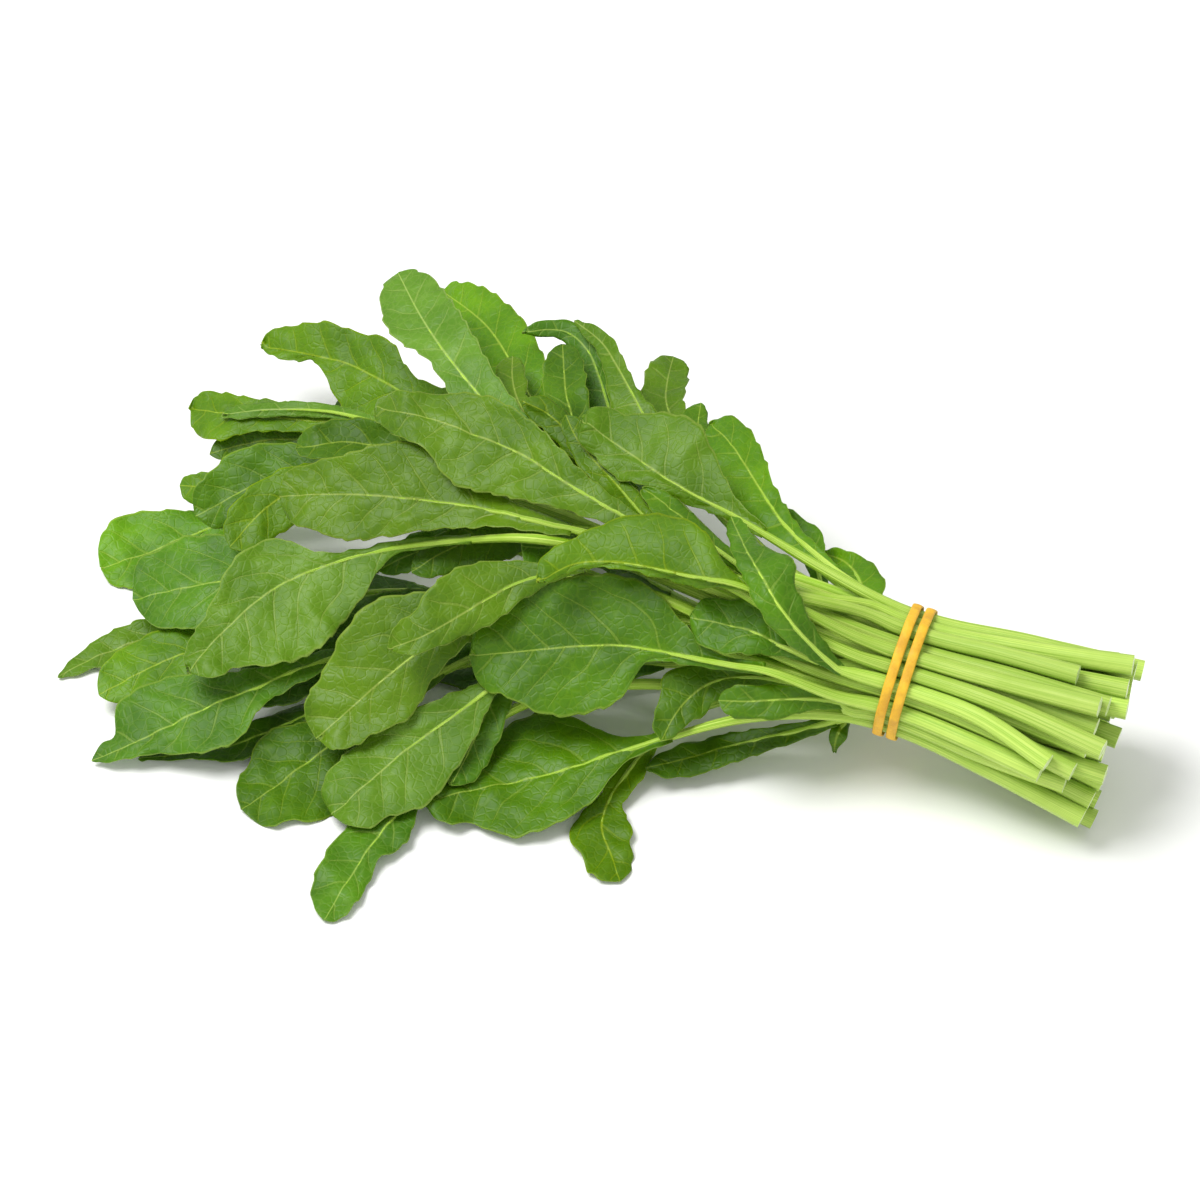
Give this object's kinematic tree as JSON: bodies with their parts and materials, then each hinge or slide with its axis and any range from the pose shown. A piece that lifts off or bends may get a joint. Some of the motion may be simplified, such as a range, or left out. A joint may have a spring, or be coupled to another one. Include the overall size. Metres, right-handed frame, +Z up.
{
  "type": "arugula bunch",
  "caption": "Bunch of arugula lying on its side: long-stalked leaves with waved edges fan out from the cut stems, which a rubber band holds together",
  "frame": {"origin": "centre of the bounding box seen from above, on the surface that the bunch lies on", "axes": "+X along the bundle of stems towards its cut ends, +Y across it away from the side the frontmost leaves face, +Z up from the surface"},
  "size_m": [0.3082, 0.236, 0.0756],
  "materials": {
    "leaf_deep": "satin",
    "leaf_mid": "satin",
    "leaf_pale": "satin",
    "leaf_bright": "satin",
    "rubber_band": "matt, slightly rough"
  },
  "bodies": {
    "root": {"under_leaf_1": "leaf_deep", "under_leaf_2": "leaf_deep", "under_leaf_3": "leaf_deep", "band_leaf_1": "leaf_bright", "band_leaf_2": "leaf_mid", "back_leaf_1": "leaf_bright", "top_leaf_3": "leaf_bright", "left_leaf_6": "leaf_deep", "stem_leaf": "leaf_mid", "top_leaf_6": "leaf_pale", "top_leaf_7": "leaf_mid", "top_leaf_4": "leaf_mid", "back_leaf_9": "leaf_bright", "back_leaf_6": "leaf_bright", "left_leaf_3": "leaf_pale", "front_leaf_6": "leaf_bright", "top_leaf_9": "leaf_bright", "top_leaf_5": "leaf_pale", "top_leaf_13": "leaf_pale", "top_leaf_12": "leaf_mid", "back_leaf_4": "leaf_mid", "left_leaf_4": "leaf_bright", "middle_leaf_5": "leaf_deep", "front_leaf_8": "leaf_deep", "back_leaf_2": "leaf_bright", "back_leaf_3": "leaf_pale", "back_leaf_7": "leaf_mid", "top_leaf_2": "leaf_pale", "left_leaf_1": "leaf_mid", "front_leaf_7": "leaf_mid", "front_leaf_5": "leaf_mid", "back_leaf_8": "leaf_bright", "top_leaf_11": "leaf_bright", "top_leaf_10": "leaf_bright", "top_leaf_8": "leaf_pale", "left_leaf_5": "leaf_mid", "middle_leaf_6": "leaf_mid", "front_leaf_4": "leaf_mid", "band_leaf_5": "leaf_mid", "back_leaf_5": "leaf_mid", "middle_leaf_4": "leaf_mid", "middle_leaf_2": "leaf_mid", "middle_leaf_3": "leaf_mid", "front_leaf_3": "leaf_mid", "front_leaf_2": "leaf_pale", "band_leaf_6": "leaf_mid", "left_leaf_2": "leaf_pale", "middle_leaf_1": "leaf_pale", "top_leaf_1": "leaf_pale", "front_leaf_1": "leaf_pale", "center_leaf": "leaf_mid", "band_leaf_3": "leaf_mid", "leaf_over_front": "leaf_pale", "curled_leaf": "leaf_bright", "band_leaf_4": "leaf_mid", "rubber_band": "rubber_band"}
  },
  "joints": []
}
